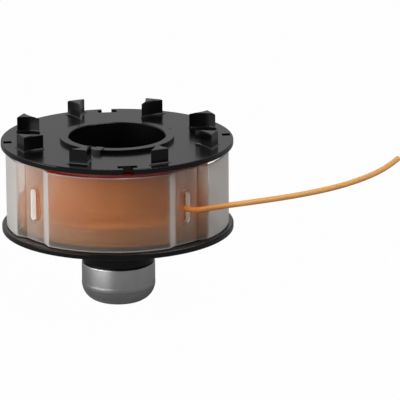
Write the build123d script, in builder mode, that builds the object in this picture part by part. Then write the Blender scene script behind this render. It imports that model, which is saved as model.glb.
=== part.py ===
# Line cassette for a bump-feed grass trimmer, in millimetres.
# It stands on its metal bump cap. The origin is the middle of the cap's flat bottom, and +Z runs up the spool's axis.
import os
from math import cos, floor, pi, radians, sin, sqrt, tan

from build123d import *

os.makedirs("parts", exist_ok=True)

# Trimmer line
line_diameter = 2.0

# Spool: two flanges on a core tube, with a neck below
flange_radius = 41.0
flange_thickness = 2.0
flange_gap = 28.5
rim_rounding = 0.4
drive_bore_radius = 17.1
hub_wall = 1.5
core_wall = 1.6
rib_count = 8
rib_thickness = 1.6
neck_radius = 12.9
neck_length = 12.3
neck_wall = 3.0
neck_floor = 2.0
groove_depth = 0.8
groove_height = 0.7

# Metal bump cap on the neck's spigot
cap_radius = 13.05
cap_height = 14.2
cap_wall = 1.0
cap_corner = 6.5
cap_rim_rounding = 0.3
cap_clearance = 0.1

# Top disc: collar, driving dogs, rim notches and windows
collar_radius = 20.2
collar_height = 1.25
mouth_chamfer = 0.3
key_angle = -114.5
key_width = 2.8
key_step = 1.4
key_rise = 0.25
slit_angle = 30.3
slit_length = 3.2
slit_width = 1.1
slit_offset = 2.0
slit_depth = 1.2
spigot_depth = 2.5
spigot_clearance = 0.1
dog_count = 8
dog_height = 5.4
dog_length = 8.0
dog_inset = 4.15
dog_span = 10.2
dog_tip_offset = 1.6
dog_start = 23.3
dog_hollow = 0.6
dog_foot = 0.7
dog_edge = 0.3
notch_count = 2
notch_bar_width = 6.8
notch_bar_depth = 3.0
notch_mouth_width = 3.6
notch_tab = 2.0
window_length = 2.9
window_width = 3.0
window_inset = 0.9

# Guard ring: a thin band with four recesses, each with one slot in an oval lip
guard_inset = 1.7
guard_wall = 0.9
guard_recess = 1.9
guard_foot_gap = 0.3
guard_top_gap = 1.6
guard_front = -101.0
recess_spread = 45.3
recess_floor = 15.2
recess_ramp = 5.5
ramp_rounding = 1.2
slot_spread = 44.5
slot_clearance = 0.6
slot_height = 11.1
lip_wall = 0.9
lip_depth = 0.6
lip_rise = 0.8

# Winding
winding_depth = 10.9
winding_play = 0.8
spare_layers = 2
line_gap = 0.3
line_drop = 0.8
line_standoff = 1.6

# Heights, from the cap's bottom up
flange_bottom = cap_height + neck_length
winding_bottom = flange_bottom + flange_thickness
disc_bottom = winding_bottom + flange_gap
disc_top = disc_bottom + flange_thickness
guard_bottom = winding_bottom + guard_foot_gap
guard_top = disc_bottom - guard_top_gap
slot_middle = (guard_bottom + guard_top) / 2
line_height = slot_middle - line_drop

# Radii: the guard ring and the core tube follow from the flange, the hub tube from the bore
guard_radius = flange_radius - guard_inset
recess_radius = guard_radius - guard_recess
core_radius = recess_radius - guard_wall - winding_play - winding_depth
core_bore = core_radius - core_wall
hub_radius = drive_bore_radius + hub_wall
rib_length = core_bore - hub_radius
mouth_radius = drive_bore_radius + mouth_chamfer
dog_outer = flange_radius - dog_inset
dog_inner = dog_outer - dog_length


def polar(radius, angle):
    """A point of the plan view, from its radius and its angle in degrees."""
    return (radius * cos(radians(angle)), radius * sin(radians(angle)))


def hollow_arc(start, end, depth):
    """An arc that dips to the left of the straight line from start to end."""
    along = Vector(*end) - Vector(*start)
    left = Vector(-along.Y, along.X).normalized()
    middle = (Vector(*start) + Vector(*end)) / 2 + left * depth
    return ThreePointArc(start, middle, end)


# Spool body: hub tube and core tube joined by ribs, lower flange, neck and the cap's spigot
pocket_radius = neck_radius - neck_wall
pocket_bottom = flange_bottom - neck_length + groove_height + neck_floor
spigot_radius = cap_radius - cap_wall - cap_clearance
spigot_end = cap_corner + cap_clearance
shoulder = cap_height + groove_height

with BuildPart() as spool_body:
    with BuildSketch(Plane.XZ):
        with BuildLine():
            Polyline(
                (pocket_radius, winding_bottom),
                (drive_bore_radius, winding_bottom),
                (drive_bore_radius, disc_bottom),
                (hub_radius, disc_bottom),
                (hub_radius, winding_bottom),
                (core_bore, winding_bottom),
                (core_bore, disc_bottom),
                (core_radius, disc_bottom),
                (core_radius, winding_bottom),
                (flange_radius, winding_bottom),
                (flange_radius, flange_bottom),
                (neck_radius, flange_bottom),
                (neck_radius, shoulder),
                (neck_radius - groove_depth, shoulder),
                (neck_radius - groove_depth, cap_height),
                (spigot_radius, cap_height),
                (spigot_radius, spigot_end),
                (pocket_radius, spigot_end),
                (pocket_radius, pocket_bottom - neck_floor),
                (0, pocket_bottom - neck_floor),
                (0, pocket_bottom),
                (pocket_radius, pocket_bottom),
                close=True,
            )
        make_face()
    revolve(axis=Axis.Z)
    rim = spool_body.edges().filter_by(GeomType.CIRCLE).sort_by(lambda edge: edge.radius)[-2:]
    fillet(rim, rim_rounding)
    rib_top = disc_bottom - spigot_depth - spigot_clearance
    with BuildSketch(Plane.XY.offset(winding_bottom)):
        with PolarLocations((hub_radius + core_bore) / 2, rib_count):
            Rectangle(rib_length + core_wall, rib_thickness)
    extrude(amount=rib_top - winding_bottom)
spool_body.part.label = "spool_body"
export_step(spool_body.part, "parts/spool_body.step")

# Bump cap: a drawn metal cup with a rounded bottom edge
with BuildPart() as bump_cap:
    Cylinder(cap_radius, cap_height, align=(Align.CENTER, Align.CENTER, Align.MIN))
    fillet(bump_cap.faces().sort_by(Axis.Z)[0].edges(), cap_corner)
    offset(amount=-cap_wall, openings=bump_cap.faces().sort_by(Axis.Z)[-1])
    fillet(bump_cap.faces().sort_by(Axis.Z)[-1].edges(), cap_rim_rounding)
bump_cap.part.label = "bump_cap"
export_step(bump_cap.part, "parts/bump_cap.step")

# One driving dog in plan: steep on one side, slanted on the other, both sides hollowed
dog_low = polar(dog_outer, -dog_span)
dog_high = polar(dog_outer, 0)
dog_tip = polar(dog_inner, -dog_tip_offset)

with BuildSketch() as dog_plan:
    with BuildLine():
        Line(dog_low, dog_high)
        hollow_arc(dog_high, dog_tip, dog_hollow)
        hollow_arc(dog_tip, dog_low, dog_hollow)
    make_face()

# Top disc: upper flange with its collar, dogs, notches and the spigot that centres it in the core tube
spigot_outer = core_bore - spigot_clearance
spigot_wall = rib_length / 2 - spigot_clearance
notch_floor = flange_radius - notch_tab - notch_bar_depth

with BuildPart() as top_disc:
    with BuildSketch(Plane.XY.offset(disc_bottom)):
        Circle(flange_radius)
    extrude(amount=flange_thickness)
    fillet(top_disc.edges().filter_by(GeomType.CIRCLE), rim_rounding)
    with BuildSketch(Plane.XY.offset(disc_top)):
        Circle(collar_radius)
    extrude(amount=collar_height)
    with BuildSketch(Plane.XY.offset(disc_bottom)):
        Circle(spigot_outer)
        Circle(spigot_outer - spigot_wall, mode=Mode.SUBTRACT)
    extrude(amount=-spigot_depth)
    with BuildSketch(Plane.XY.offset(disc_bottom)):
        Circle(drive_bore_radius)
    extrude(amount=flange_thickness + collar_height, mode=Mode.SUBTRACT)
    chamfer(top_disc.faces().sort_by(Axis.Z)[-1].inner_wires().edges(), mouth_chamfer)
    with BuildSketch(Plane.XY.offset(disc_top)):
        with PolarLocations((mouth_radius + collar_radius + key_step) / 2, 1, start_angle=key_angle):
            Rectangle(collar_radius + key_step - mouth_radius, key_width)
        Circle(mouth_radius, mode=Mode.SUBTRACT)
    extrude(amount=collar_height + key_rise)
    with BuildSketch(Plane.XY.offset(disc_top)):
        with PolarLocations(collar_radius + slit_offset, 1, start_angle=slit_angle):
            Rectangle(slit_width, slit_length)
    extrude(amount=-slit_depth, mode=Mode.SUBTRACT)
    with BuildSketch(Plane.XY.offset(disc_bottom)):
        with PolarLocations(notch_floor + notch_bar_depth / 2, notch_count, start_angle=90):
            Rectangle(notch_bar_depth, notch_bar_width)
        with PolarLocations(flange_radius, notch_count, start_angle=90):
            Rectangle(2 * notch_tab, notch_mouth_width)
        with PolarLocations(flange_radius - window_inset - window_length / 2, notch_count):
            Rectangle(window_length, window_width)
    extrude(amount=flange_thickness, mode=Mode.SUBTRACT)
    with BuildSketch(Plane.XY.offset(disc_top)):
        with PolarLocations(0, dog_count, start_angle=dog_start):
            add(dog_plan.sketch)
    extrude(amount=dog_height)
    fillet(top_disc.edges(Select.LAST).filter_by_position(Axis.Z, disc_top, disc_top), dog_foot)
    chamfer(top_disc.faces().group_by(Axis.Z)[-1].edges(), dog_edge)
top_disc.part.label = "top_disc"
export_step(top_disc.part, "parts/top_disc.step")

# Guard ring: outer and inner outlines differ by the wall
recess_angles = [
    guard_front + turn + side * recess_spread for turn in (0, 180) for side in (-1, 1)
]
slot_angles = [
    guard_front + turn + side * slot_spread for turn in (0, 180) for side in (-1, 1)
]


def band_outline(proud, sunk):
    """The closed plan outline of the band, at its proud radius and at its radius in the recesses."""
    half_floor = recess_floor / 2
    half_recess = half_floor + recess_ramp
    for angle, following in zip(recess_angles, recess_angles[1:] + [recess_angles[0] + 360]):
        Line(polar(proud, angle - half_recess), polar(sunk, angle - half_floor))
        ThreePointArc(
            polar(sunk, angle - half_floor), polar(sunk, angle), polar(sunk, angle + half_floor)
        )
        Line(polar(sunk, angle + half_floor), polar(proud, angle + half_recess))
        ThreePointArc(
            polar(proud, angle + half_recess),
            polar(proud, (angle + following) / 2),
            polar(proud, following - half_recess),
        )


slot_width = line_diameter + slot_clearance
lip_inner = recess_radius - guard_wall - lip_depth

with BuildPart() as guard_ring:
    with BuildSketch(Plane.XY.offset(guard_bottom)) as band_plan:
        with BuildLine():
            band_outline(guard_radius, recess_radius)
        make_face()
        fillet(band_plan.vertices(), ramp_rounding)
        with BuildSketch(mode=Mode.PRIVATE) as band_space:
            with BuildLine():
                band_outline(guard_radius - guard_wall, recess_radius - guard_wall)
            make_face()
            fillet(band_space.vertices(), ramp_rounding)
        add(band_space.sketch, mode=Mode.SUBTRACT)
    extrude(amount=guard_top - guard_bottom)
    for angle in slot_angles:
        across = Vector(-sin(radians(angle)), cos(radians(angle)))
        outward = Vector(cos(radians(angle)), sin(radians(angle)))
        lip_plane = Plane(outward * lip_inner + Vector(0, 0, slot_middle), across, outward)
        with BuildSketch(lip_plane):
            SlotOverall(slot_height + 2 * lip_wall, slot_width + 2 * lip_wall, rotation=90)
        extrude(amount=lip_depth + guard_wall + lip_rise)
        with BuildSketch(lip_plane):
            SlotOverall(slot_height, slot_width, rotation=90)
        extrude(amount=lip_depth + guard_wall + lip_rise, mode=Mode.SUBTRACT)
guard_ring.part.label = "guard_ring"
export_step(guard_ring.part, "parts/guard_ring.step")

# Winding: rows of turns over the core, with more layers below the slot's height than above it
layer_step = line_diameter * sqrt(3) / 2
low_layers = 1 + floor((winding_depth - line_diameter) / layer_step)
high_layers = low_layers - spare_layers
turn_count = floor(flange_gap / line_diameter)
low_turns = floor((line_height - line_diameter / 2 - line_gap - winding_bottom) / line_diameter)
low_wound = core_radius + line_diameter + (low_layers - 1) * layer_step
high_wound = core_radius + line_diameter + (high_layers - 1) * layer_step
winding_top = winding_bottom + turn_count * line_diameter


def turn_ridges(crest, first, last):
    """The outer half circles of the turns from first to last, at the crest's radius."""
    foot = crest - line_diameter / 2
    for turn in range(first, last):
        low = winding_bottom + turn * line_diameter
        ThreePointArc(
            (foot, low), (crest, low + line_diameter / 2), (foot, low + line_diameter)
        )


with BuildPart() as wound_line:
    with BuildSketch(Plane.XZ):
        with BuildLine():
            turn_ridges(low_wound, 0, low_turns)
            turn_ridges(high_wound, low_turns, turn_count)
            Line(
                (low_wound - line_diameter / 2, winding_bottom + low_turns * line_diameter),
                (high_wound - line_diameter / 2, winding_bottom + low_turns * line_diameter),
            )
            Polyline(
                (high_wound - line_diameter / 2, winding_top),
                (core_radius, winding_top),
                (core_radius, winding_bottom),
                (low_wound - line_diameter / 2, winding_bottom),
            )
        make_face()
    revolve(axis=Axis.Z)
wound_line.part.label = "wound_line"
export_step(wound_line.part, "parts/wound_line.step")

# Free line end: out of the slot along its middle, then away in one widening curl
exit_angle = slot_angles[1]
line_start = high_wound + line_gap
line_bend = guard_radius + line_standoff
line_route = [
    polar(line_start, exit_angle),
    polar(line_bend, exit_angle),
    (31.0, -30.1),
    (44.5, -25.8),
    (60.6, -19.9),
    (76.0, -11.5),
    (88.6, -0.5),
    (98.6, 12.4),
    (104.0, 23.0),
]
points = [Vector(x, y, line_height) for x, y in line_route]
runs = [end - start for start, end in zip(points, points[1:])]
bend_radii = [
    0.45 * min(before.length, after.length) / tan(radians(before.get_angle(after)) / 2)
    for before, after in zip(runs, runs[1:])
]
print("line runs", [round(run.length, 1) for run in runs])
print("line bend radii", [round(radius, 1) for radius in bend_radii])

with BuildPart() as line_end:
    with BuildLine() as line_path:
        FilletPolyline(*points, radius=bend_radii)
    with BuildSketch(Plane(line_path.line @ 0, z_dir=line_path.line % 0)):
        Circle(line_diameter / 2)
    sweep()
line_end.part.label = "line_end"
export_step(line_end.part, "parts/line_end.step")

line_length = sum(edge.length for edge in line_path.edges())
print("line end length", round(line_length, 1))
print("volume against section times length", line_end.part.volume / (pi * line_diameter**2 / 4 * line_length))
print("layers", low_layers, high_layers, "turns", turn_count, low_turns)
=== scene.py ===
# Line cassette for a grass trimmer: finishes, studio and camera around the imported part
from math import cos, pi, radians, sin

import bmesh
import bpy
import numpy as np
from mathutils import Matrix, Vector


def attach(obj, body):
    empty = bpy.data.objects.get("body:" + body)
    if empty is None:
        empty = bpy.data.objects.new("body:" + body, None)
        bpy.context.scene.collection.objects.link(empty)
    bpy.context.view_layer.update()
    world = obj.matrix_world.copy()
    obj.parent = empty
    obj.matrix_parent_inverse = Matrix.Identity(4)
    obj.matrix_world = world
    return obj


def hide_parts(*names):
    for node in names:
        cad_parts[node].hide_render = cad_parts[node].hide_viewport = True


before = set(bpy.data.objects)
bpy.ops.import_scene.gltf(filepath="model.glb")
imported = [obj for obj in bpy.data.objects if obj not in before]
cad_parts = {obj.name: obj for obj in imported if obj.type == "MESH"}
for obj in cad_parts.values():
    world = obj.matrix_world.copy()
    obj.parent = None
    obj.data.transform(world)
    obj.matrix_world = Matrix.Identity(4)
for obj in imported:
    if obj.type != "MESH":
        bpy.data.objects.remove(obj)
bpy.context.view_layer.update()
mm = 0.001
weldDistance = 0.002 * mm
scene = bpy.context.scene


def meshFromFaces(name, points, faces, body, sharpAngle):
    # points is an n x 3 array in mm, faces a list of index arrays; doubles at seams and poles are merged
    mesh = bpy.data.meshes.new(name)
    mesh.from_pydata((np.asarray(points) * mm).tolist(), [], [f for part in faces for f in part.tolist()])
    edit = bmesh.new()
    edit.from_mesh(mesh)
    bmesh.ops.remove_doubles(edit, verts=edit.verts, dist=weldDistance)
    edit.to_mesh(mesh)
    edit.free()
    mesh.polygons.foreach_set("use_smooth", np.ones(len(mesh.polygons), bool))
    mesh.set_sharp_from_angle(angle=radians(sharpAngle))
    piece = bpy.data.objects.new(name, mesh)
    scene.collection.objects.link(piece)
    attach(piece, body)
    return piece


def gridFaces(rows, columns):
    # quads of a rows x columns grid of points, wound so that row direction x column direction points out
    index = np.arange(rows * columns).reshape(rows, columns)
    return np.stack([index[:-1, :-1], index[1:, :-1], index[1:, 1:], index[:-1, 1:]], -1).reshape(-1, 4)


def turned(radius, height, sides):
    # surface of revolution: the point at angle a on profile point (r, z) is (r cos a, r sin a, z)
    angle = np.linspace(0, 2 * pi, sides + 1)[:, None]
    radius, height = np.asarray(radius)[None, :], np.asarray(height)[None, :]
    return np.stack([radius * np.cos(angle), radius * np.sin(angle), height + 0 * angle], -1)


def arc(centreR, centreZ, radius, start, end, steps):
    # profile points on a circle in the (r, z) plane, from one angle to the other in degrees
    a = np.radians(np.linspace(start, end, steps + 1))
    return np.stack([centreR + radius * np.cos(a), centreZ + radius * np.sin(a)], -1)


def dress(piece, material):
    piece.data.materials.clear()
    piece.data.materials.append(material)


class Wire:
    # one output socket: + - * on wires add Math nodes, and make adds any other node
    def __init__(self, tree, socket=None):
        self.tree, self.socket = tree, socket

    def make(self, kind, settings=None, out=0, **sockets):
        # out is an output's name or place; an input is given by its name, with _ for a space, or by i and
        # its place
        node = self.tree.nodes.new(kind)
        for key, value in (settings or {}).items():
            setattr(node, key, value)
        for key, value in sockets.items():
            byPlace = key[0] == "i" and key[1:].isdigit()
            socket = node.inputs[int(key[1:]) if byPlace else key.replace("_", " ")]
            if isinstance(value, Wire):
                self.tree.links.new(value.socket, socket)
            else:
                socket.default_value = value
        return Wire(self.tree, node.outputs[out])

    def maths(self, operation, other):
        return self.make("ShaderNodeMath", {"operation": operation}, i0=self, i1=other)

    def __add__(self, other):
        return self.maths("ADD", other)

    __radd__ = __add__

    def __mul__(self, other):
        return self.maths("MULTIPLY", other)

    __rmul__ = __mul__

    def __sub__(self, other):
        return self.maths("SUBTRACT", other)

    def __rsub__(self, other):
        return self.make("ShaderNodeMath", {"operation": "SUBTRACT"}, i0=other, i1=self)

    def orMore(self, other):
        # the greater of the two
        return self.maths("MAXIMUM", other)

    def blend(self, low, high):
        # mixes two colours by this wire, 0 to 1
        return self.make("ShaderNodeMix", {"data_type": "RGBA"}, out=2, i0=self, i6=low, i7=high)

    def between(self, low, high):
        # 0 below low, 1 above high
        smooth = {"interpolation_type": "SMOOTHSTEP"}
        return self.make("ShaderNodeMapRange", smooth, Value=self, From_Min=low, From_Max=high)


def newMaterial(name):
    # an empty node material, with a wire to start from and a call that ends it
    material = bpy.data.materials.new(name)
    material.use_nodes = True
    tree = material.node_tree
    tree.nodes.clear()
    output = tree.nodes.new("ShaderNodeOutputMaterial")
    return material, Wire(tree), lambda wire: tree.links.new(wire.socket, output.inputs["Surface"])


def objectPlace(start):
    return start.make("ShaderNodeTexCoord", out="Object")


def noise(start, place, scale, detail, roughness=0.5):
    return start.make("ShaderNodeTexNoise", Vector=place, Scale=scale, Detail=detail, Roughness=roughness)


def grainBump(start, look, grain):
    # the fine texture of a moulded or drawn surface
    return start.make("ShaderNodeBump", Strength=look["bump"], Distance=look["bumpDepth"] * mm, Height=grain)


blackLook = {
    "colour": (0.002, 0.002, 0.0023, 1),
    "worn": (0.004, 0.004, 0.0043, 1),
    "wornFrom": (0.35, 0.7),
    "cloudScale": 60.0,
    "grainScale": 900.0,
    "ior": 1.35,
    "roughness": 0.16,
    "roughnessSpread": 0.08,
    "bump": 0.012,
    "bumpDepth": 0.2,
}


def blackMoulding():
    # near-black plastic, a little paler and duller in patches
    look = blackLook
    material, start, end = newMaterial("blackMoulding")
    place = objectPlace(start)
    cloud = noise(start, place, look["cloudScale"], detail=4.0)
    grain = noise(start, place, look["grainScale"], detail=2.0)
    end(start.make(
        "ShaderNodeBsdfPrincipled",
        Base_Color=cloud.between(*look["wornFrom"]).blend(look["colour"], look["worn"]),
        Roughness=look["roughness"] + cloud * look["roughnessSpread"],
        IOR=look["ior"],
        Normal=grainBump(start, look, grain),
    ))
    return material


lineLook = {
    "free": ((0.95, 0.48, 0.14, 1), (0.93, 0.44, 0.12, 1)),
    # wound is painted shade: the line's colour darkened on the winding inside the ring, and by unshadedFrom
    # on the line near it
    "wound": ((0.64, 0.22, 0.024, 1), (0.58, 0.18, 0.018, 1)),
    # low is painted shade, darker towards the bottom of the winding
    "low": (0.4, 0.165, 0.045, 1),
    # shaded is painted shade, deepest where the winding lies under the upper flange
    "shaded": (0.34, 0.016, 0.008, 1),
    "patchFrom": (0.3, 0.7),
    "unshadedFrom": (38.5, 51.0),
    "lowShadeTo": (34.5, 37.5),
    "shadedFrom": (52.3, 53.1),
    "cloudScale": 140.0,
    "grainScale": 1200.0,
    "roughness": 0.4,
    "roughnessSpread": 0.1,
    "glow": 0.6,
    "glowColour": (1.0, 0.4, 0.12),
    "glowDepth": 1.5,
    "bump": 0.05,
    "bumpDepth": 0.2,
}


def lineNylon():
    # orange nylon that glows a little inside, with painted shade: deeper by the distance from the axis, on
    # the winding inside the ring and on the line near it, darker towards the bottom of the winding, deepest
    # under the upper flange
    look = lineLook
    material, start, end = newMaterial("lineNylon")
    place = objectPlace(start)
    cloud = noise(start, place, look["cloudScale"], detail=3.0)
    grain = noise(start, place, look["grainScale"], detail=2.0)
    patches = cloud.between(*look["patchFrom"])
    height = start.make("ShaderNodeSeparateXYZ", out="Z", Vector=place)
    level = start.make("ShaderNodeVectorMath", {"operation": "MULTIPLY"}, i0=place, i1=(1, 1, 0))
    distance = start.make("ShaderNodeVectorMath", {"operation": "LENGTH"}, out="Value", i0=level)
    aboveLowShade, shaded, free = (
        wire.between(*(edge * mm for edge in look[edges]))
        for wire, edges in ((height, "lowShadeTo"), (height, "shadedFrom"), (distance, "unshadedFrom"))
    )
    # painted shade: the winding darker towards its bottom
    wound = aboveLowShade.blend(look["low"], patches.blend(*look["wound"]))
    # painted shade under the upper flange
    wound = shaded.blend(wound, look["shaded"])
    end(start.make(
        "ShaderNodeBsdfPrincipled",
        Base_Color=free.blend(wound, patches.blend(*look["free"])),
        Roughness=look["roughness"] + cloud * look["roughnessSpread"],
        Subsurface_Weight=look["glow"],
        Subsurface_Radius=look["glowColour"],
        Subsurface_Scale=look["glowDepth"] * mm,
        Normal=grainBump(start, look, grain),
    ))
    return material


clearLook = {
    "tint": (0.97, 0.95, 0.89, 1),
    # refractedLineColour is the painted colour of the orange line, as if seen refracted through the plastic
    "refractedLineColour": (0.5, 0.24, 0.105, 1),
    "refractedLineFullAt": 0.6,
    "frost": 0.46,
    "ior": 1.46,
    "roughness": 0.33,
    "roughnessSpread": 0.08,
    "milk": (0.57, 0.555, 0.53, 1),
    "milkRoughness": 0.3,
    "milkGlow": 0.6,
    "milkGlowColour": (1.0, 0.95, 0.9),
    "milkGlowDepth": 2.0,
    "milkyFacing": (0.26, 0.45),
    # slotPaintedHighlight is a painted highlight that glows on the slots' walls
    "slotPaintedHighlight": (0.5, 0.5, 0.48, 1),
    "slotPaintedHighlightFrom": (0.86, 0.94),
    "cloudScale": 90.0,
    "grainScale": 500.0,
    "bump": 0.04,
    "bumpDepth": 0.2,
}


def clearMoulding():
    # lets about half the light straight through and frosts the rest; milky by the haze attribute, whose
    # highest values on the slots' walls also glow as a painted highlight, and by the skin attribute where the
    # outside is seen aslant; a skin below 0 takes on the painted colour of the line, as if seen through the
    # plastic, and lets less light straight through
    look = clearLook
    material, start, end = newMaterial("clearMoulding")
    place = objectPlace(start)
    haze, skin = (
        start.make("ShaderNodeAttribute", {"attribute_name": name}, out="Fac") for name in ("haze", "skin")
    )
    fromInside = start.make("ShaderNodeNewGeometry", out="Backfacing")
    facing = start.make("ShaderNodeLayerWeight", out="Facing", Blend=0.5)
    cloud = noise(start, place, look["cloudScale"], detail=3.0)
    bump = grainBump(start, look, noise(start, place, look["grainScale"], detail=2.0))
    # painted colour of the line, as if seen through the plastic, where the skin is below 0
    refractedLine = (0 - skin).between(0.0, look["refractedLineFullAt"])
    frost = start.make(
        "ShaderNodeBsdfPrincipled",
        Base_Color=refractedLine.blend(look["tint"], look["refractedLineColour"]),
        Roughness=look["roughness"] + cloud * look["roughnessSpread"],
        IOR=look["ior"],
        Transmission_Weight=1.0,
        Alpha=look["frost"] + refractedLine * (1 - look["frost"]),
        Normal=bump,
    )
    milk = start.make(
        "ShaderNodeBsdfPrincipled",
        Base_Color=look["milk"],
        Roughness=look["milkRoughness"],
        Subsurface_Weight=look["milkGlow"],
        Subsurface_Radius=look["milkGlowColour"],
        Subsurface_Scale=look["milkGlowDepth"] * mm,
        # painted highlight: the slots' walls glow where the haze is highest
        Emission_Color=haze.between(*look["slotPaintedHighlightFrom"]).blend((0, 0, 0, 1), look["slotPaintedHighlight"]),
        Emission_Strength=1.0,
        Normal=bump,
    )
    aslant = facing.between(*look["milkyFacing"]) * (skin.orMore(0.0) * (1 - fromInside))
    end(start.make("ShaderNodeMixShader", i0=haze.orMore(aslant), i1=frost, i2=milk))
    return material


steelLook = {
    "colour": (0.61, 0.612, 0.61, 1),
    "dark": (0.52, 0.522, 0.525, 1),
    "brightFrom": (0.3, 0.75),
    "cloudScale": 120.0,
    "grainScale": 1600.0,
    "roughness": 0.28,
    "roughnessSpread": 0.12,
    "bump": 0.08,
    "bumpDepth": 0.1,
}


def capSteel():
    # drawn steel, brighter and darker in faint patches
    look = steelLook
    material, start, end = newMaterial("capSteel")
    place = objectPlace(start)
    cloud = noise(start, place, look["cloudScale"], detail=4.0, roughness=0.6)
    grain = noise(start, place, look["grainScale"], detail=2.0)
    end(start.make(
        "ShaderNodeBsdfPrincipled",
        Base_Color=cloud.between(*look["brightFrom"]).blend(look["dark"], look["colour"]),
        Metallic=1.0,
        Roughness=look["roughness"] + grain * look["roughnessSpread"],
        Normal=grainBump(start, look, grain),
    ))
    return material


blackMaterial = blackMoulding()
lineMaterial = lineNylon()
clearMaterial = clearMoulding()
steelMaterial = capSteel()
for node in ("spool_body", "top_disc"):
    dress(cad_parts[node], blackMaterial)
print("materials ready")


lineEnd = {
    "diameter": 2.0,
    "length": 110.2,
    "height": 41.3,
    "route": [
        (17.83, -26.93), (22.57, -34.11), (31.0, -30.1), (44.5, -25.8), (60.6, -19.9),
        (76.0, -11.5), (88.6, -0.5), (98.6, 12.4), (104.0, 23.0),
    ],
    "bevelSteps": 6,
    "stepsPerPoint": 16,
}


def makeLineEnd():
    # a round cord on a smooth curve through the route's plan, all at one height
    diameter = lineEnd["diameter"] * mm
    curve = bpy.data.curves.new("lineEnd", "CURVE")
    curve.dimensions = "3D"
    curve.bevel_depth = 1.0
    curve.bevel_resolution = lineEnd["bevelSteps"]
    curve.resolution_u = lineEnd["stepsPerPoint"]
    curve.use_fill_caps = True
    spline = curve.splines.new("NURBS")
    points = [(x * mm, y * mm, lineEnd["height"] * mm, 1.0) for x, y in lineEnd["route"]]
    spline.points.add(len(points) - 1)
    spline.points.foreach_set("co", np.array(points).ravel())
    # the bevel is 1 m and each point's radius scales it down, so the curve's own box stays true
    spline.points.foreach_set("radius", np.full(len(points), diameter / 2))
    spline.order_u = 3
    spline.use_endpoint_u = True
    piece = bpy.data.objects.new("lineEnd", curve)
    scene.collection.objects.link(piece)
    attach(piece, "guard")
    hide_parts("line_end")
    dress(piece, lineMaterial)


makeLineEnd()
print("line end ready")


winding = {
    "core": 24.8,
    "line": 2.0,
    "layerStep": 1.732,
    "fullLayers": 4,
    "lowLayers": 2,
    "turns": 14,
    "lowTurns": 5,
    "bottom": 28.5,
    "wander": 0.05,
    "wanderRates": (0.13, 0.31, 0.57, 1.3),
    "seed": 7,
    "stepsPerTurn": 64,
    "sides": 8,
    "sharpAngle": 60,
}


def makeWoundLine():
    # one long tube: layer by layer its axis runs on a helix of radius R, up in even layers and down in odd
    # ones, from one end of its layer to the other; R wanders by the mean of a few sines, seeded
    w = winding
    thick = w["line"] / 2
    radii, heights = [], []
    for layer in range(w["fullLayers"] + w["lowLayers"]):
        turns = w["turns"] if layer < w["fullLayers"] else w["lowTurns"]
        climb = np.arange(turns * w["stepsPerTurn"]) / (turns * w["stepsPerTurn"])
        rise = climb if layer % 2 == 0 else 1 - climb
        heights.append(w["bottom"] + thick + rise * (turns - 1) * w["line"])
        radii.append(np.full(len(climb), w["core"] + thick + layer * w["layerStep"]))
    radius, height = np.concatenate(radii), np.concatenate(heights)
    angle = np.arange(len(radius)) * 2 * pi / w["stepsPerTurn"]
    draw = np.random.default_rng(w["seed"])
    waves = [np.sin(angle * rate + draw.uniform(0, 2 * pi)) for rate in w["wanderRates"]]
    radius = radius + w["wander"] * (sum(waves) / len(waves))
    side = np.linspace(0, 2 * pi, w["sides"] + 1)[None, :]
    across = radius[:, None] - thick * np.cos(side)
    points = np.stack([
        across * np.cos(angle)[:, None],
        across * np.sin(angle)[:, None],
        height[:, None] + thick * np.sin(side),
    ], -1)
    rows, columns = points.shape[:2]
    rim = np.arange(columns - 1)
    faces = [gridFaces(rows, columns), rim[None, :], (rim + (rows - 1) * columns)[None, ::-1]]
    piece = meshFromFaces("woundLine", points.reshape(-1, 3), faces, "spool", w["sharpAngle"])
    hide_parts("wound_line")
    dress(piece, lineMaterial)


makeWoundLine()
print("winding ready")


# front is the angle of the middle of the front panel, and spread leads from it to the recess on each side;
# a lip's feet and turns are steps aside and along the depth from the corner that they round off
guardRing = {
    "proud": 39.3,
    "recess": 1.9,
    "wall": 0.9,
    "bottom": 28.8,
    "top": 55.4,
    "front": -100.7,
    "spread": 45.6,
    "slotFront": -101.0,
    "slotSpread": 44.5,
    "floor": 15.2,
    "ramp": 5.5,
    "rampRounding": 0.14,
    "rampShares": (-0.2, -0.1, 0, 0.1, 0.25, 0.5, 0.75, 0.9, 1, 1.1, 1.2),
    "panelStep": 2,
    "edge": 0.25,
    "edgeSteps": 4,
    "margins": (0.45, 0.65, 2.5),
    "windowWidth": 6.4,
    "windowHeight": 17.0,
    "windowColumns": 9,
    "windowRows": 13,
    "slotHeight": 11.1,
    "slotWidth": 2.6,
    "lip": 0.9,
    "lipRise": 0.8,
    "lipDepth": 0.6,
    "lipFoot": ((0.35, 0), (0.12, -0.05), (0, -0.25)),
    "lipOuterTurn": ((0, 0.22), (0.07, 0.07), (0.25, 0)),
    "lipInnerTurn": ((0.25, 0), (0.07, 0.07), (0, 0.25)),
    "lipInnerFoot": ((0, 0.2), (0.1, 0.04), (0.3, 0)),
    "sharpAngle": 50,
}
guardMiddle = (guardRing["bottom"] + guardRing["top"]) / 2
floorRadius = guardRing["proud"] - guardRing["recess"]
slotRadius = guardRing["slotWidth"] / 2
lipRadius = slotRadius + guardRing["lip"]
slotStraight = (guardRing["slotHeight"] - guardRing["slotWidth"]) / 2


def pairAngles(front, spread):
    # angles in degrees of a pair on both sides of the front, and of the same pair behind
    return [front + turn + side * spread for turn in (0, 180) for side in (-1, 1)]


recessAngles, slotAngles = (
    sorted(angle % 360 for angle in pairAngles(guardRing[front], guardRing[spread]))
    for front, spread in (("front", "spread"), ("slotFront", "slotSpread"))
)


def softStep(value, width):
    # 0 below and value above, with a parabola of the given half width at the bend
    return np.where(value < -width, 0, np.where(value > width, value, (value + width) ** 2 / (4 * width)))


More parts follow.
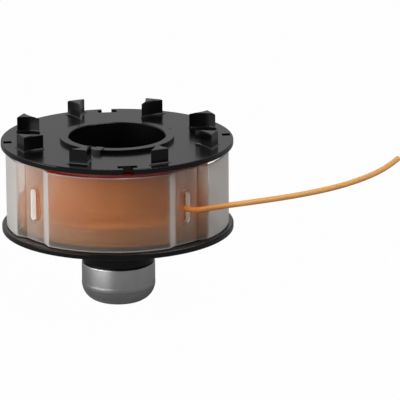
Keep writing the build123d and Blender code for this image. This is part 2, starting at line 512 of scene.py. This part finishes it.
def guardSink(angle):
    # share of the recess depth at an angle in degrees: 1 on a recess floor, 0 on the proud panels, and an
    # even fall along the ramp between, with both its bends rounded
    g = guardRing
    centres = np.array(pairAngles(g["front"], g["spread"]))
    away = np.abs((angle[..., None] - centres + 180) % 360 - 180).min(-1)
    rise = softStep((g["floor"] / 2 + g["ramp"] - away) / g["ramp"], g["rampRounding"])
    return rise - softStep(rise - 1, g["rampRounding"])


def fromSlotLine(aside, rise):
    # distance from a slot's upright middle line, for places given by mm aside of its middle and above it
    return np.hypot(aside, rise - np.clip(rise, -slotStraight, slotStraight))


def bandColumns():
    # angles in degrees of the band's columns, close at ramps and windows and a panelStep or so apart between,
    # and the number of the column that each window starts at
    g = guardRing
    half = np.degrees(g["windowWidth"] / 2 / floorRadius)
    across = np.linspace(-half, half, g["windowColumns"])
    bends = [g["floor"] / 2 + g["ramp"] * share for share in g["rampShares"]]
    last = max(bends)
    columns, windows = [], []
    for centre, slot, following in zip(recessAngles, slotAngles, recessAngles[1:] + [recessAngles[0] + 360]):
        count = int((following - centre - 2 * last) / g["panelStep"]) + 2
        stretch = np.linspace(centre + last, following - last, count)
        windows.append(len(columns) + len(bends))
        columns += [centre - bend for bend in bends[::-1]] + list(slot + across)
        columns += [centre + bend for bend in bends] + list(stretch[1:-1])
    return np.array(columns), windows


def bandRows():
    # heights up one side, and the depth and height of the wall's whole rounded profile: up the outside,
    # over the top, down the inside and under the foot
    g = guardRing
    e, wall, top = g["edge"], g["wall"], g["top"]
    margin = np.array([e, *g["margins"]])
    reach = g["windowHeight"] / 2
    window = np.linspace(guardMiddle - reach, guardMiddle + reach, g["windowRows"])
    side = np.concatenate([g["bottom"] + margin, window, top - margin[::-1]])
    bend = np.radians(np.linspace(0, 90, g["edgeSteps"] + 1))[1:-1]
    overDepth = np.concatenate([e - e * np.cos(bend), [e, wall - e], wall - e + e * np.sin(bend)])
    overHeight = np.concatenate([top - e + e * np.sin(bend), [top, top], top - e + e * np.cos(bend)])
    depth = np.concatenate([0 * side, overDepth, 0 * side + wall, overDepth[::-1]])
    height = np.concatenate([side, overHeight, side[::-1], g["bottom"] + top - overHeight[::-1]])
    return side, depth, height


def lipProfile():
    # (distance from the slot's middle line, depth below the recess floor) from outside, through the slot,
    # to inside
    g = guardRing
    rise, wall, deep = g["lipRise"], g["wall"], g["wall"] + g["lipDepth"]
    outer, inner = g["lipOuterTurn"], g["lipInnerTurn"]
    return np.array([
        *((lipRadius + aside, along) for aside, along in g["lipFoot"]),
        *((lipRadius - aside, along - rise) for aside, along in outer),
        *((slotRadius + aside, along - rise) for aside, along in inner),
        *((slotRadius + aside, deep - along) for aside, along in inner[::-1]),
        *((lipRadius - aside, deep - along) for aside, along in outer[::-1]),
        *((lipRadius + aside, wall + along) for aside, along in g["lipInnerFoot"]),
    ])


def slotRings(slot, angles, heights, profile):
    # rings round one slot, one for each profile point: a point of the window's edge moves straight towards
    # the slot's middle line until it is the profile's distance from it, and sinks to the profile's depth
    aside = np.radians(angles - slot) * floorRadius
    rise = heights - guardMiddle
    straight = np.clip(rise, -slotStraight, slotStraight)
    share = profile[:, :1] / fromSlotLine(aside, rise)
    turn = radians(slot) + aside * share / floorRadius
    radius = floorRadius - profile[:, 1:]
    height = guardMiddle + (straight + (rise - straight) * share)
    return np.stack([radius * np.cos(turn), radius * np.sin(turn), height], -1)


def makeGuardRing():
    # the band is the wall's profile carried round the outline radius(angle) = proud - recess * sink; it has a
    # window at each slot, outside and inside, and the slot's rings join the two windows' edges
    g = guardRing
    columns, windows = bandColumns()
    side, depth, height = bandRows()
    radius = (g["proud"] - g["recess"] * guardSink(columns))[:, None] - depth[None, :]
    turn = np.radians(columns)[:, None]
    band = np.stack([radius * np.cos(turn), radius * np.sin(turn), height[None, :] + 0 * turn], -1)
    index = np.arange(radius.size).reshape(radius.shape)
    nextColumn = np.roll(index, -1, 0)
    quads = np.stack([index, nextColumn, np.roll(nextColumn, -1, 1), np.roll(index, -1, 1)], -1)
    keep = np.ones(index.shape, bool)
    low = 1 + len(g["margins"])
    high = low + g["windowRows"] - 1
    lastInside = len(side) + len(depth) // 2 - 1  # the inside row at the height of row 0
    profile = lipProfile()
    points, faces, used = [band.reshape(-1, 3)], [], index.size
    for slot, left in zip(slotAngles, windows):
        right = left + g["windowColumns"] - 1
        keep[left:right, low:high] = False
        keep[left:right, lastInside - high:lastInside - low] = False
        loopColumn = np.concatenate([
            np.arange(left, right), np.full(high - low, right),
            np.arange(right, left, -1), np.full(high - low, left),
        ])
        loopRow = np.concatenate([
            np.full(right - left, low), np.arange(low, high),
            np.full(right - left, high), np.arange(high, low, -1),
        ])
        rings = slotRings(slot, columns[loopColumn], side[loopRow], profile)
        ringIndex = used + np.arange(rings.size // 3).reshape(rings.shape[:2])
        used += ringIndex.size
        points.append(rings.reshape(-1, 3))
        loops = np.concatenate([
            index[loopColumn, loopRow][None, :], ringIndex, index[loopColumn, lastInside - loopRow][None, :],
        ])
        onward = np.roll(loops, -1, 1)
        faces.append(np.stack([loops[:-1], onward[:-1], onward[1:], loops[1:]], -1).reshape(-1, 4))
    points, faces = np.concatenate(points), [quads[keep], *faces]
    piece = meshFromFaces("guardRing", points, faces, "guard", g["sharpAngle"])
    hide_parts("guard_ring")
    dress(piece, clearMaterial)
    return piece


# sinks are shares of the recess depth, and margins and heights are in mm
guardMarks = {
    "haze": 0.025,
    "footHaze": 0.1,
    "footHeight": 1.0,
    "edgeHaze": 0.82,
    "edgeHeight": 0.35,
    # slotHaze is above slotPaintedHighlightFrom, so these slots' walls glow as a painted highlight
    "slotHaze": 0.95,
    # exitSlotHaze stays under slotPaintedHighlightFrom, so the exit slot's wall is milky but has no painted
    # highlight
    "exitSlotHaze": 0.84,
    "slotMargin": 0.1,
    "slotWallFrom": 0.4,
    "skin": 0.88,
    "recessSkin": 0.28,
    # exitRecessSkin is painted shade: the exit recess less milky than the others, with a trace of the painted
    # line colour
    "exitRecessSkin": -0.13,
    "recessSkinFrom": 0.8,
    "lipMargin": 0.3,
    # painted colour of the line on the outer ramp of the recess that the line leaves by
    "rampRefractedLine": -0.33,
    "rampSinks": (0.02, 0.96),
    # painted colour of the line, seen refracted in the bend at the foot of each outer ramp
    "bendRefractedLine": -1.0,
    "bendSinks": (0.93, 0.99),
}


def markGuardRing(mesh):
    # haze is the share that is always milky: a little all over, more near the foot, most along both edges
    # and on the outer wall of each slot, where it also sets off the painted highlight; skin is the share that
    # looks milky
    # aslant: most on the outside of panels and ramps, less in recesses, none inside or on lips, and below 0,
    # for the painted colour of the line, in the bend at the foot of each outer ramp; the recess that the line
    # leaves by is less milky as painted shade, its slot's wall has no painted highlight, and its outer ramp
    # gets the painted colour of the line
    g, m = guardRing, guardMarks
    place = np.zeros(len(mesh.vertices) * 3)
    mesh.vertices.foreach_get("co", place)
    x, y, z = place.reshape(-1, 3).T / mm
    angle = np.degrees(np.arctan2(y, x))
    sink = guardSink(angle)
    outward = np.sign([(slot - g["front"] + 90) % 180 - 90 for slot in slotAngles])
    fromSlots = np.radians((angle[:, None] - np.array(slotAngles) + 180) % 360 - 180) * floorRadius
    nearest = np.abs(fromSlots).argmin(-1)
    aside = fromSlots[np.arange(len(nearest)), nearest] * outward[nearest]
    fromLine = fromSlotLine(aside, z - guardMiddle)
    # the recess and slot that the line leaves by; its recess is less milky, as painted shade
    atLineExit = nearest == len(slotAngles) - 1
    atFoot = z < g["bottom"] + m["footHeight"]
    atEdge = np.clip(1 - np.minimum(z - g["bottom"], g["top"] - z) / m["edgeHeight"], 0, 1)
    onSlotWall = (fromLine < slotRadius + m["slotMargin"]) & (aside > m["slotWallFrom"])
    haze = np.max([
        0 * z + m["haze"],
        m["footHaze"] * atFoot,
        m["edgeHaze"] * atEdge,
        np.where(atLineExit, m["exitSlotHaze"], m["slotHaze"]) * onSlotWall,
    ], 0)
    onFloor = np.clip((sink - m["recessSkinFrom"]) / (1 - m["recessSkinFrom"]), 0, 1)
    onRamp, inBend = (
        (aside > 0) & (sink > start) & (sink < end) for start, end in (m["rampSinks"], m["bendSinks"])
    )
    inside = np.hypot(x, y) < g["proud"] - g["recess"] * sink - g["wall"] / 2
    # painted shade: the exit recess less milky
    skin = m["skin"] + (np.where(atLineExit, m["exitRecessSkin"], m["recessSkin"]) - m["skin"]) * onFloor
    # painted colour of the line on the exit ramp and in the bends
    skin = np.where(atLineExit & onRamp, m["rampRefractedLine"], skin)
    skin = np.where(inBend, m["bendRefractedLine"], skin)
    skin = np.where(inside | (fromLine < lipRadius + m["lipMargin"]), 0, skin)
    for name, value in (("haze", haze), ("skin", skin)):
        mesh.attributes.new(name, "FLOAT", "POINT").data.foreach_set("value", value.astype(np.float32))


markGuardRing(makeGuardRing().data)
print("guard ring ready")


bumpCap = {
    "radius": 13.05,
    "height": 14.2,
    "wall": 1.0,
    "corner": 6.5,
    "cornerEnd": -8,
    "rim": 0.35,
    "beadHeight": 6.6,
    "beadWidth": 1.9,
    "beadRise": 0.055,
    "beadSteps": 12,
    "sides": 160,
    "sharpAngle": 50,
}


def makeBumpCap():
    # a cup turned from one closed profile: flat bottom, quarter round, straight side, rounded rim, and back
    # inside; a low bead runs round the side, and its rise is half of beadRise times 1 + cos of a full turn
    # over its width
    c = bumpCap
    radius, corner, rim, wall = c["radius"], c["corner"], c["rim"], c["wall"]
    inner, rimHeight = radius - wall, c["height"] - rim
    share = np.linspace(-0.5, 0.5, c["beadSteps"] + 1)
    beadRadius = radius + c["beadRise"] * (1 + np.cos(2 * pi * share)) / 2
    profile = np.concatenate([
        [(0, 0), ((radius - corner) / 2, 0)],
        arc(radius - corner, corner, corner, -90, c["cornerEnd"], steps=20),
        np.stack([beadRadius, c["beadHeight"] + c["beadWidth"] * share], -1),
        arc(radius - rim, rimHeight, rim, 0, 90, steps=6),
        arc(inner + rim, rimHeight, rim, 90, 180, steps=6),
        arc(radius - corner, corner, corner - wall, 0, -90, steps=12),
        [(0, wall)],
    ])
    points = turned(profile[:, 0], profile[:, 1], c["sides"])
    faces = [gridFaces(*points.shape[:2])]
    piece = meshFromFaces("bumpCap", points.reshape(-1, 3), faces, "spool", c["sharpAngle"])
    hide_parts("bump_cap")
    dress(piece, steelMaterial)


makeBumpCap()
print("cap ready")


studio = {
    "floorColour": (0.27, 0.27, 0.27, 1),
    "floorSize": 6.0,
    "floorGlow": 0.985,
    "mirrored": 0.05,
    "frontSky": 0.12,
    "leftSky": 0.8,
    "rightSky": 0.55,
    "rightTurn": (0.9, 0.44),
    "sideFrom": (0.5, 0.95),
    "backSky": 0.53,
    "backFrom": (-0.2, 0.4),
    "aim": (0, 0, 0.04),
    "keyPlace": (-1.04, -0.5, 0.3),
    "keySize": (1.3, 0.5),
    "keyPower": 11.8,
    "fillPlace": (0.42, -0.32, 0.86),
    "fillSize": (0.7, 0.7),
    "fillPower": 5.6,
}


def whiteFor(start):
    # 1 for what the camera sees, straight or through the clear ring, a share of it in mirrors, and 0 for
    # the light that falls on the pieces, which has met a diffuse surface on its way
    camera, glossy, through, met = (
        start.make("ShaderNodeLightPath", out=name)
        for name in ("Is Camera Ray", "Is Glossy Ray", "Is Transmission Ray", "Diffuse Depth")
    )
    shown = through.orMore(glossy * studio["mirrored"])
    return camera.orMore(shown * met.maths("LESS_THAN", 0.5))


def makeFloor():
    mesh = bpy.data.meshes.new("studioFloor")
    s = studio["floorSize"] / 2
    mesh.from_pydata([(-s, -s, 0), (s, -s, 0), (s, s, 0), (-s, s, 0)], [], [(0, 1, 2, 3)])
    floor = bpy.data.objects.new("studioFloor", mesh)
    scene.collection.objects.link(floor)
    material, start, end = newMaterial("studioFloor")
    cloth = start.make("ShaderNodeBsdfDiffuse", Color=studio["floorColour"])
    white = start.make("ShaderNodeEmission", Color=(1, 1, 1, 1), Strength=1.0)
    end(start.make("ShaderNodeMixShader", i0=whiteFor(start) * studio["floorGlow"], i1=cloth, i2=white))
    dress(floor, material)


def makeWorld():
    # dim in front and brighter behind and at both sides, for the light; white for what the camera sees
    world = bpy.data.worlds.new("studioWorld")
    world.use_nodes = True
    world.node_tree.nodes.clear()
    start = Wire(world.node_tree)
    output = world.node_tree.nodes.new("ShaderNodeOutputWorld")
    direction = start.make("ShaderNodeTexCoord", out="Generated")
    aside, behind = (start.make("ShaderNodeSeparateXYZ", out=axis, Vector=direction) for axis in "XY")
    across, back = studio["rightTurn"]
    glow = behind.between(*studio["backFrom"]) * studio["backSky"]
    for side, share in ((aside * across + behind * back, "rightSky"), (0 - aside, "leftSky")):
        glow = glow.orMore(side.between(*studio["sideFrom"]) * studio[share])
    strength = glow.orMore(studio["frontSky"]).orMore(whiteFor(start))
    sky = start.make("ShaderNodeBackground", Color=(1, 1, 1, 1), Strength=strength)
    world.node_tree.links.new(sky.socket, output.inputs["Surface"])
    scene.world = world


def makeLight(name):
    # a soft rectangle that faces the part
    data = bpy.data.lights.new(name + "Light", "AREA")
    data.shape = "RECTANGLE"
    data.size, data.size_y = studio[name + "Size"]
    data.energy = studio[name + "Power"]
    lamp = bpy.data.objects.new(name + "Light", data)
    lamp.location = studio[name + "Place"]
    lamp.rotation_euler = (Vector(studio["aim"]) - lamp.location).to_track_quat("-Z", "Y").to_euler()
    scene.collection.objects.link(lamp)


makeFloor()
makeWorld()
makeLight("key")
makeLight("fill")
print("studio ready")


cameraView = {
    "azimuth": -6.5,
    "elevation": 16.212,
    "roll": -0.332,
    "distance": 1.4,
    "focalPixels": 3975.4,
    "frame": 400,
    "discTop": 0.059,
    "discPixel": (116.995, 138.394),
    "sensor": 36,
    "clip": (0.05, 20),
}


def makeCamera():
    # the disc's centre is at distance along the view and lands on discPixel; the picture's middle is the
    # lens axis
    c = cameraView
    a, e, r = radians(c["azimuth"]), radians(c["elevation"]), radians(c["roll"])
    forward = Vector((-sin(a) * cos(e), cos(a) * cos(e), -sin(e)))
    level = Vector((cos(a), sin(a), 0))
    upright = level.cross(forward)
    right = cos(r) * level + sin(r) * upright
    up = -sin(r) * level + cos(r) * upright
    half = c["frame"] / 2
    aside = (c["discPixel"][0] - half) * c["distance"] / c["focalPixels"]
    above = (half - c["discPixel"][1]) * c["distance"] / c["focalPixels"]
    place = Vector((0, 0, c["discTop"])) - aside * right - above * up - c["distance"] * forward
    data = bpy.data.cameras.new("photoCamera")
    data.sensor_width = c["sensor"]
    data.lens = c["focalPixels"] * c["sensor"] / c["frame"]
    data.clip_start, data.clip_end = c["clip"]
    camera = bpy.data.objects.new("photoCamera", data)
    turn = Matrix((right, up, -forward)).transposed().to_4x4()
    camera.matrix_world = Matrix.Translation(place) @ turn
    scene.collection.objects.link(camera)
    scene.camera = camera


makeCamera()
bpy.context.view_layer.update()
scene.view_settings.view_transform = "Standard"
print("camera ready")
